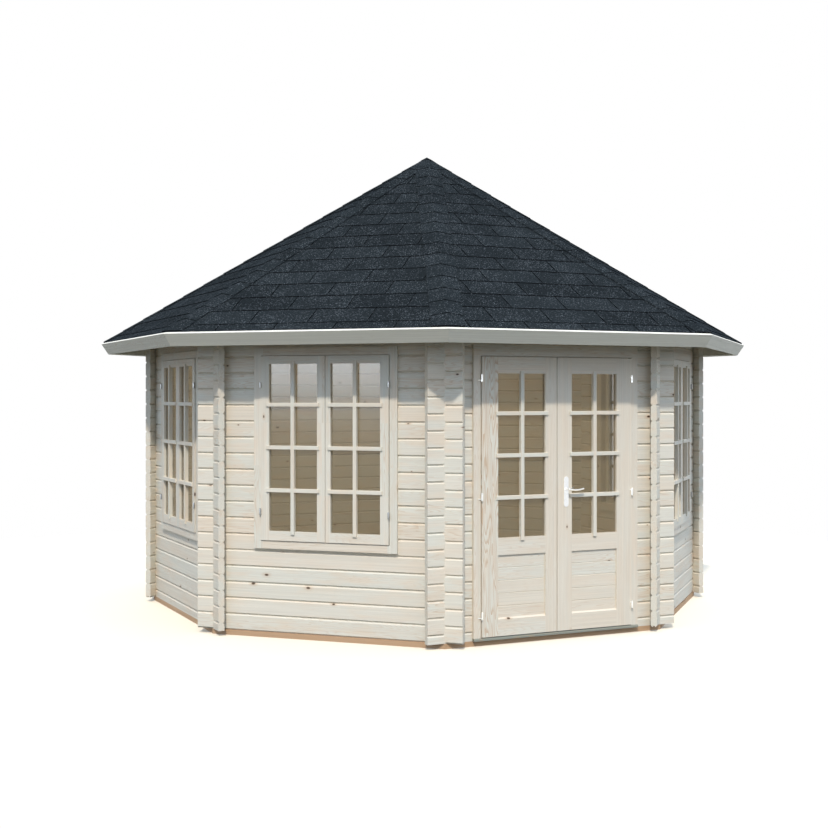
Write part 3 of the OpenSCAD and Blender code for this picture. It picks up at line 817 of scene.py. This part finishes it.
class GAZEBO_OT_glass(bpy.types.Operator):
    """Glaze door and windows"""

    bl_idname = "gazebo.glass"
    bl_label = "Glass"

    def execute(self, context):
        glass = pane_glass()
        dress(glass, "left_door_glass", "right_door_glass", *[f"{name}_window_glass" for name in WINDOWS])
        return {"FINISHED"}


class GAZEBO_OT_ironwork(bpy.types.Operator):
    """Give door hinges and handle their metal"""

    bl_idname = "gazebo.ironwork"
    bl_label = "Hinges and handle"

    def execute(self, context):
        colours = context.scene.gazebo_colours
        zinc = bright_metal("zinc_plate", colours.zinc, roughness=0.34, streak_mm=3.0)
        hinges = [f"{side}_{part}_hinges" for side in ("left", "right") for part in ("frame", "leaf")]
        dress(zinc, *hinges)
        steel = bright_metal("satin_steel", colours.steel, roughness=0.3, streak_mm=2.0)
        dress(steel, "handle_plates", "door_handle")
        return {"FINISHED"}


class GAZEBO_OT_floor_boards(bpy.types.Operator):
    """Lay the floor in boards across the joists, drawn without their tongues"""

    bl_idname = "gazebo.floor_boards"
    bl_label = "Floor boards"

    def execute(self, context):
        joinery = context.scene.gazebo_joinery
        low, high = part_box("floor_boards")
        edge = high.y
        width = joinery.floor_width
        half = high.x * OVERRUN
        board = block("board", (-half, -edge, low.z), (half, -edge + width - BOARD_GAP, high.z))
        eased = 0.0015
        ease(board, lambda e: runs_along(e, 0) and middle(e).z > (low.z + high.z) / 2, eased)
        count = math.ceil(2 * edge / width)
        repeat(board, count, (0, width, 0))
        for side in range(SIDES):
            normal = Vector((math.sin(side * TURN), -math.cos(side * TURN), 0))
            cut(board, normal * edge, normal)
        floor = join("floor_boards_laid", [board])
        rows = layers(1, width, -edge, SEEDS["floor"])
        spruce = timber("spruce_floor", flat_space, rows, roughness=0.5)
        settle(floor, "building", "spruce_board", spruce, "floor_boards")
        return {"FINISHED"}


class GAZEBO_OT_roof_boards(bpy.types.Operator):
    """Board the roof level from hip to hip, with a V joint under each edge"""

    bl_idname = "gazebo.roof_boards"
    bl_label = "Roof boards"

    def execute(self, context):
        roof = context.scene.gazebo_roof
        low = (-HALF_SIDE, 0, -COVERING_T - DECK_T)
        board = block("board", low, (HALF_SIDE, roof.board_width - BOARD_GAP, -COVERING_T - BOARD_GAP))
        ease(board, lambda e: runs_along(e, 0) and middle(e).z < -COVERING_T - DECK_T / 2, roof.joint)
        repeat(board, math.ceil(SLOPE / roof.board_width), (0, roof.board_width, 0))
        lay_on_front_roof(board, 0)
        trim_to_sector(board)
        boards = round_the_axis("roof_boards_laid", board)
        rows = each_side(layers(1, roof.board_width * math.sin(PITCH), EAVE_Z, SEEDS["roof_boards"]))
        spruce = timber("spruce_roof_boards", ring_space(), rows)
        settle(boards, "building", "spruce_board", spruce, "roof_boards")
        return {"FINISHED"}


def set_tones(piece, faces_each, source):
    """Gives each copy in a row of copies its own tone, kept as a face attribute."""
    tones = piece.data.attributes.new("tone", "FLOAT", "FACE")
    for number, face in enumerate(piece.data.polygons):
        if number % faces_each == 0:
            level = source.random()
        tones.data[face.index].value = level


def blacken_edges(piece, material, bare):
    """Gives the faces that bare accepts the material of a cut edge."""
    piece.data.materials.append(material)
    for face in piece.data.polygons:
        if bare(face):
            face.material_index = 1


# A face that stands steeper than this is a cut edge of the felt
STEEP = 0.5 * math.cos(PITCH)
# Seeds of the tones that the tabs and the caps draw
TAB_SEED = 11
CAP_SEED = 5


class GAZEBO_OT_shingles(bpy.types.Operator):
    """Lay the felt shingles course by course on all eight sides"""

    bl_idname = "gazebo.shingles"
    bl_label = "Shingles"

    def execute(self, context):
        roof = context.scene.gazebo_roof
        source = random.Random(TAB_SEED)
        sides = []
        for side in range(SIDES):
            courses = [self.course(roof, row, side, source) for row in range(self.rows(roof))]
            part = join("side", [self.underlay(), *[one for one in courses if one]])
            place_at(part, rotation=(0, 0, side * TURN))
            sides.append(part)
        shingles = join("roof_shingles_laid", sides)
        settle(shingles, "building", "bitumen_shingle", bitumen("slated_bitumen"), "roof_shingles")
        blacken_edges(shingles, bitumen_edge(), lambda face: face.normal.z < STEEP)
        return {"FINISHED"}

    def rows(self, roof):
        """Number of courses from the eave to the apex."""
        return 1 + math.ceil((SLOPE - roof.first_course) / roof.exposure)

    def underlay(self):
        """The felt under the courses, a little above the boards."""
        lower, upper = 0.0003 - COVERING_T, 0.001 - COVERING_T
        sheet = block("underlay", (-HALF_SIDE, 0, lower), (HALF_SIDE, SLOPE, upper))
        lay_on_front_roof(sheet, 0)
        trim_to_sector(sheet)
        return sheet

    def course(self, roof, row, side, source):
        """One course of tabs, trimmed at the hips; its lower edge lifts over the course below."""
        start = 0.0 if row == 0 else roof.first_course + (row - 1) * roof.exposure
        end = roof.first_course + row * roof.exposure
        width = roof.tab_width
        thick = roof.shingle_t
        half_slit = roof.slit / 2
        tab = block("tab", (half_slit, start, -thick), (width - half_slit, end + roof.head_lap, 0))
        worn = 0.001
        ease(tab, lambda e: runs_along(e, 0) and middle(e).y < end and middle(e).z > -thick / 2, worn)
        # The head lies lower, under the next course, and is thinner
        sink, thin = 0.8 * thick, 0.6 * thick
        lift(tab, lambda v: v.co.y > end, -sink)
        lift(tab, lambda v: v.co.y > end and v.co.z < -1.5 * thick, thin)
        faces_each = len(tab.data.polygons)
        half = (EAVE_A - start * math.cos(PITCH)) * math.tan(TURN / 2)
        shift = 0.5 * ((row + side) % 2)
        first = -math.ceil(half / width + shift) + shift
        repeat(tab, 2 * math.ceil(half / width + shift) + 1, (width, 0, 0))
        set_tones(tab, faces_each, source)
        place_at(tab, (first * width, 0, 0))
        # The lower edge stands a share of its thickness over the plane of the covering
        lay_on_front_roof(tab, 0.4 * thick)
        trim_to_sector(tab)
        if not tab.data.polygons:
            bpy.data.objects.remove(tab)
            return None
        return tab


class GAZEBO_OT_hip_caps(bpy.types.Operator):
    """Fold lapped felt caps over the hips"""

    bl_idname = "gazebo.hip_caps"
    bl_label = "Hip caps"

    def execute(self, context):
        roof = context.scene.gazebo_roof
        source = random.Random(CAP_SEED)
        wing = roof.cap_wing
        # Stretched over the hip, the felt is thinner
        thick = 0.7 * roof.shingle_t
        drop = RISE * math.sin(TURN / 2) * math.cos(HIP_PITCH) * wing
        cap = block("cap", (-wing, 0, 0), (wing, roof.cap_spacing + roof.head_lap, thick))
        cut(cap, (0, 0, 0), (1, 0, 0), drop=False)
        lift(cap, lambda v: abs(v.co.x) > wing / 2, -drop)
        fold = wing / 9
        ease(cap, lambda e: runs_along(e, 1) and abs(middle(e).x) < wing / 2, fold, segments=2)
        lift(cap, lambda v: v.co.y < roof.cap_spacing / 2, thick)
        faces_each = len(cap.data.polygons)
        repeat(cap, math.ceil(HIP_SLOPE / roof.cap_spacing), (0, roof.cap_spacing, 0))
        set_tones(cap, faces_each, source)
        out = Vector((0, -math.sin(HIP_PITCH), math.cos(HIP_PITCH)))
        clear = 0.001
        place_at(cap, Vector((0, -HIP_R, EAVE_Z)) + out * clear, (HIP_PITCH, 0, 0))
        trim_to_sector(cap)
        for side in (-1, 1):
            normal = Vector((side * math.sin(TURN / 2), -math.cos(TURN / 2), 0))
            cut(cap, normal * EAVE_A, normal)
        caps = round_the_axis("hip_caps_laid", cap, TURN / 2)
        settle(caps, "building", "bitumen_shingle", bitumen("slated_bitumen_caps"), "hip_caps")
        blacken_edges(caps, bitumen_edge(), self.is_lip)
        return {"FINISHED"}

    def is_lip(self, face):
        """True for the lower end of a cap, which looks out from the axis."""
        out = Vector((face.center.x, face.center.y, 0)).normalized()
        return face.normal.z < STEEP and face.normal.dot(out) > 0.5


def glazing_bar(name, axis, low, high, pane, edge):
    """One glazing bar over a pane: its ends lap the sash, and its middle stands back to the glass."""
    bar = block(name, low, high)
    ease(bar, lambda e: middle(e).y < low.y + HAIR, edge)
    clear = 0.0005
    first, last = pane[0][axis] + clear, pane[1][axis] - clear
    normal = Vector((axis == 0, axis == 1, axis == 2))
    for limit in (first, last):
        cut(bar, normal * limit, normal, drop=False)
    off_glass = 0.003
    back = (pane[0].y + pane[1].y) / 2 - off_glass
    open_with(bar, "faces", lambda face: face.normal.y > 0.9
              and first < face.calc_center_median()[axis] < last)
    bpy.ops.mesh.extrude_region_move(TRANSFORM_OT_translate={"value": (0, back - high.y, 0)})
    close()
    return bar


def lattice(joinery, pane):
    """Upright bar and cross bars of one pane, in its wall's frame."""
    low, high = pane
    half = joinery.bar_width / 2
    centre = (low.x + high.x) / 2
    back = LEAF_FRONT - HAIR
    front = back - joinery.bar_proud
    # Cross bars stand this much behind the upright one
    setback = 0.0006
    upright = glazing_bar(
        "upright", 2, Vector((centre - half, front, low.z - joinery.bar_foot)),
        Vector((centre + half, back, high.z + joinery.bar_end)), pane, joinery.bar_edge,
    )
    count = joinery.cross_bars
    clear = (high.z - low.z - count * joinery.bar_width) / (count + 1)
    bottom = low.z + clear
    cross = glazing_bar(
        "cross", 0, Vector((low.x - joinery.bar_end, front + setback, bottom)),
        Vector((high.x + joinery.bar_end, back, bottom + joinery.bar_width)), pane, joinery.bar_edge,
    )
    repeat(cross, count, (0, 0, clear + joinery.bar_width))
    return upright, cross


class GAZEBO_OT_glazing_bars(bpy.types.Operator):
    """Fix the glazing bars over the panes of door and windows"""

    bl_idname = "gazebo.glazing_bars"
    bl_label = "Glazing bars"

    def execute(self, context):
        joinery = context.scene.gazebo_joinery
        uprights = layers(0, UPRIGHT_STEP, seed=SEEDS["upright_bars"])
        upright_timber = timber("spruce_upright_bars", ring_space(), uprights, upright=True, knots=0.0)
        crosses = layers(1, CROSS_STEP, seed=SEEDS["cross_bars"])
        cross_timber = timber("spruce_cross_bars", ring_space(), crosses, knots=0.0)
        for side in ("left", "right"):
            pane = pane_openings(f"{side}_door_glass", 0)[0]
            upright, cross = lattice(joinery, pane)
            upright = join(f"{side}_door_upright_bar", [upright])
            cross = join(f"{side}_door_cross_bars", [cross])
            settle(upright, f"{side}_leaf", "planed_spruce", upright_timber)
            settle(cross, f"{side}_leaf", "planed_spruce", cross_timber)
        for name in WINDOWS:
            place = PLACES[name]
            pairs = [lattice(joinery, pane) for pane in pane_openings(f"{name}_window_glass", place)]
            upright = join(f"{name}_window_upright_bars", [pair[0] for pair in pairs])
            cross = join(f"{name}_window_cross_bars", [pair[1] for pair in pairs])
            for piece, material in ((upright, upright_timber), (cross, cross_timber)):
                place_at(piece, rotation=(0, 0, place * TURN))
                settle(piece, "building", "planed_spruce", material)
        return {"FINISHED"}


class GAZEBO_OT_window_hinges(bpy.types.Operator):
    """Hang the sashes on barrel hinges"""

    bl_idname = "gazebo.window_hinges"
    bl_label = "Window hinges"

    def execute(self, context):
        joinery = context.scene.gazebo_joinery
        colours = context.scene.gazebo_colours
        zinc = bright_metal("dull_zinc", colours.dull_zinc, roughness=0.42, streak_mm=3.0)
        points = in_wall_frame("right_window_sashes", PLACES["right"])
        off_sash = 0.002
        reach = max(abs(point.x) for point in points) + off_sash
        heights = (
            min(point.z for point in points) + joinery.hinge_inset,
            max(point.z for point in points) - joinery.hinge_inset,
        )
        clear = 0.0005
        depth = LEAF_FRONT - joinery.hinge_diameter / 2 - clear
        for name in WINDOWS:
            barrels = [
                self.barrel(joinery, (side * reach, depth, height), end)
                for side in (-1, 1) for height in heights for end in (-1, 1)
            ]
            hinges = join(f"{name}_window_hinges", barrels)
            place_at(hinges, rotation=(0, 0, PLACES[name] * TURN))
            settle(hinges, "building", "zinc_hinge", zinc)
        return {"FINISHED"}

    def barrel(self, joinery, place, end):
        """Half of a barrel with a domed far end, and the joint at the place."""
        half_joint = 0.0003
        length = joinery.hinge_length / 2 - half_joint
        radius = joinery.hinge_diameter / 2
        centre = (place[0], place[1], place[2] + end * (length / 2 + half_joint))
        barrel = cylinder(20, radius, length, centre)
        tip = centre[2] + end * length / 2
        dome = 0.55 * radius
        ease(barrel, lambda e: abs(middle(e).z - tip) < HAIR, dome, segments=3)
        bpy.ops.object.shade_smooth_by_angle(angle=math.radians(40))
        return barrel


class GAZEBO_OT_fascia_nails(bpy.types.Operator):
    """Nail the fascia to the roof, with heads painted over"""

    bl_idname = "gazebo.fascia_nails"
    bl_label = "Fascia nails"

    def execute(self, context):
        joinery = context.scene.gazebo_joinery
        outer = -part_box("eaves_fascia")[0].y
        top_z = EAVE_Z - (outer - EAVE_A) * RISE
        along = Vector((0, -math.cos(PITCH), -math.sin(PITCH)))
        down = Vector((0, math.sin(PITCH), -math.cos(PITCH)))
        head_t = 0.0012
        worn = 0.4 * head_t
        # Pairs of nails at these shares of half a side, and at these depths under the fascia's upper edge
        shares = (-0.94, -0.47, 0.0, 0.47, 0.94)
        depths = (0.022, 0.074)
        spread = outer * math.tan(TURN / 2)
        tilt = (math.pi / 2 + PITCH, 0, 0)
        nails = []
        for share in shares:
            for depth in depths:
                spot = Vector((share * spread, -outer, top_z)) + down * depth + along * (head_t / 2)
                nail = cylinder(12, joinery.nail_head / 2, head_t, spot, tilt)
                ease(nail, lambda e: (middle(e) - spot).dot(along) > head_t / 4, worn)
                nails.append(nail)
        front = join("nails", nails)
        nails = round_the_axis("fascia_nails", front)
        settle(nails, "building", "fascia_board", bpy.data.materials["spruce_fascia"])
        return {"FINISHED"}


# Places of the stage, in metres
FLOOR_DROP = 0.0005
ROOM_LIGHT_D = 2.4
ROOM_LIGHT_Z = 2.6
PANEL_W = 5.0
PANEL_H = 2.85
PANEL_Z = 3.175
PANEL_REACH = 15.0


class GAZEBO_OT_stage(bpy.types.Operator):
    """Set floor, light and camera"""

    bl_idname = "gazebo.stage"
    bl_label = "Stage"

    def execute(self, context):
        stage = context.scene.gazebo_stage
        self.lay_floor(stage)
        self.set_sky(context.scene, stage)
        self.set_sun(context.scene, stage)
        self.set_room_light(context.scene, stage)
        self.set_panel(context.scene, stage)
        self.set_camera(context.scene, stage)
        context.scene.view_settings.view_transform = "Standard"
        return {"FINISHED"}

    def seen_rays(self, tree):
        """One for what is seen directly, mirrored or through glass, zero for light that is sent back."""
        path = add(tree, "LightPath").node
        seen = add(tree, "Math", (
            path.outputs["Is Camera Ray"], path.outputs["Is Glossy Ray"],
        ), operation="MAXIMUM")
        return add(tree, "Math", (seen, path.outputs["Is Transmission Ray"]), operation="MAXIMUM")

    def lay_floor(self, stage):
        """A round pale floor under the object, that fades out into the backdrop."""
        bpy.ops.object.select_all(action="DESELECT")
        radius = stage.floor_radius
        bpy.ops.mesh.primitive_circle_add(
            vertices=96, radius=radius, fill_type="NGON", location=(0, 0, -FLOOR_DROP)
        )
        floor = bpy.context.object
        floor.name = "studio_floor"
        bpy.ops.object.transform_apply(location=True, rotation=True, scale=True)
        material, tree = new_material("pale_floor")
        coords = add(tree, "TexCoord", output="Object")
        distance = add(tree, "VectorMath", (coords,), output="Value", operation="LENGTH")
        fade = add(tree, "MapRange", (
            distance, 0.55 * radius, 0.98 * radius, 1.0, 0.0,
        ), interpolation_type="SMOOTHSTEP")
        shown = self.seen_rays(tree)
        colour = add(tree, "Mix", {
            0: shown, MIX_A: stage.floor_bounce, MIX_B: stage.floor,
        }, output=MIX_OUT, data_type="RGBA")
        close_material(material, {
            "Base Color": colour, "Roughness": 0.9, "Specular IOR Level": 0.1, "Alpha": fade,
        })
        floor.data.materials.append(material)

    def set_sky(self, scene, stage):
        """Fill light from all round, with a white backdrop for the camera and for reflections."""
        world = bpy.data.worlds.new("studio")
        scene.world = world
        world.use_nodes = True
        tree = world.node_tree
        tree.nodes.clear()
        shown = self.seen_rays(tree)
        view = add(tree, "TexCoord", output="Generated")
        split = add(tree, "SeparateXYZ", (view,)).node
        level = add(tree, "MapRange", (
            split.outputs[2], -0.12, 0.12, stage.ground, stage.sky,
        ), interpolation_type="SMOOTHSTEP")
        # The side away from the key light has the brighter sky
        side = add(tree, "MapRange", (split.outputs[0], -1.0, 1.0, 0.88, 1.45))
        level = add(tree, "Math", (level, side), operation="MULTIPLY")
        fill = add(tree, "Background", {"Color": stage.sky_colour, "Strength": level})
        white = add(tree, "Background", {"Color": (1, 1, 1, 1), "Strength": 1.0})
        mixed = add(tree, "MixShader", (shown, fill, white))
        add(tree, "OutputWorld", {"Surface": mixed})

    def hang(self, scene, name, kind, power, colour):
        """A lamp of a kind, as an object of the scene."""
        lamp = bpy.data.lights.new(name, kind)
        lamp.energy = power
        lamp.color = colour[:3]
        light = bpy.data.objects.new(name, lamp)
        scene.collection.objects.link(light)
        return light

    def set_sun(self, scene, stage):
        """A soft key light from the front."""
        sun = self.hang(scene, "key_light", "SUN", stage.sun, stage.sun_colour)
        sun.data.angle = stage.sun_soft
        sun.rotation_euler = (math.pi / 2 - stage.sun_height, 0, stage.sun_azimuth)

    def set_room_light(self, scene, stage):
        """A wide soft light under the roof, so that the room shows through the panes."""
        light = self.hang(scene, "room_light", "AREA", stage.room, stage.room_colour)
        light.data.shape = "DISK"
        light.data.size = ROOM_LIGHT_D
        light.location = (0, 0, ROOM_LIGHT_Z)
        light.visible_glossy = False
        light.visible_camera = False

    def set_panel(self, scene, stage):
        """A light panel far to the left, that the upper panes beside the door mirror."""
        light = self.hang(scene, "light_panel", "AREA", stage.panel, stage.panel_colour)
        light.data.shape = "RECTANGLE"
        light.data.size = PANEL_W
        light.data.size_y = PANEL_H
        place = PLACES["front_left"] * TURN
        foot = Matrix.Rotation(place, 3, "Z") @ Vector((0, -WALL_A, 0))
        sight = self.eye_place(stage) - foot
        mirror = 2 * place - math.atan2(sight.x, -sight.y)
        reach = Vector((math.sin(mirror), -math.cos(mirror), 0)) * PANEL_REACH
        light.location = foot + reach + Vector((0, 0, PANEL_Z))
        light.rotation_euler = (math.pi / 2, 0, mirror)
        light.visible_diffuse = False
        light.visible_camera = False

    def eye_place(self, stage):
        """Where the camera stands."""
        angle = stage.eye_azimuth
        return Vector((
            stage.eye_distance * math.sin(angle), -stage.eye_distance * math.cos(angle), stage.eye_height,
        ))

    def set_camera(self, scene, stage):
        """A level camera at eye height, turned to the axis."""
        view = bpy.data.cameras.new("eye")
        view.lens = stage.lens
        view.shift_x = stage.shift_x
        view.shift_y = stage.shift_y
        eye = bpy.data.objects.new("eye", view)
        eye.location = self.eye_place(stage)
        eye.rotation_euler = (math.pi / 2, 0, stage.eye_azimuth)
        scene.collection.objects.link(eye)
        scene.camera = eye


OPERATORS = (
    GAZEBO_OT_log_walls,
    GAZEBO_OT_joinery,
    GAZEBO_OT_base,
    GAZEBO_OT_roof_timber,
    GAZEBO_OT_glass,
    GAZEBO_OT_ironwork,
    GAZEBO_OT_floor_boards,
    GAZEBO_OT_roof_boards,
    GAZEBO_OT_shingles,
    GAZEBO_OT_hip_caps,
    GAZEBO_OT_glazing_bars,
    GAZEBO_OT_window_hinges,
    GAZEBO_OT_fascia_nails,
    GAZEBO_OT_stage,
)
GROUPS = {
    "gazebo_roof": GazeboRoof,
    "gazebo_joinery": GazeboJoinery,
    "gazebo_colours": GazeboColours,
    "gazebo_stage": GazeboStage,
}


class GAZEBO_PT_steps(bpy.types.Panel):
    """Steps of the finish, in order"""

    bl_label = "Log gazebo"
    bl_space_type = "VIEW_3D"
    bl_region_type = "UI"
    bl_category = "Gazebo"

    def draw(self, context):
        for operator in OPERATORS:
            self.layout.operator(operator.bl_idname)


def register():
    """Registers the property groups, operators and panel."""
    for name, group in GROUPS.items():
        bpy.utils.register_class(group)
        setattr(bpy.types.Scene, name, bpy.props.PointerProperty(type=group))
    for one in (*OPERATORS, GAZEBO_PT_steps):
        bpy.utils.register_class(one)


def unregister():
    """Removes what register added."""
    for one in reversed((*OPERATORS, GAZEBO_PT_steps)):
        bpy.utils.unregister_class(one)
    for name, group in reversed(GROUPS.items()):
        delattr(bpy.types.Scene, name)
        bpy.utils.unregister_class(group)


def main():
    """Runs every step."""
    register()
    for operator in OPERATORS:
        family, step = operator.bl_idname.split(".")
        getattr(getattr(bpy.ops, family), step)()


if __name__ == "__main__":
    main()
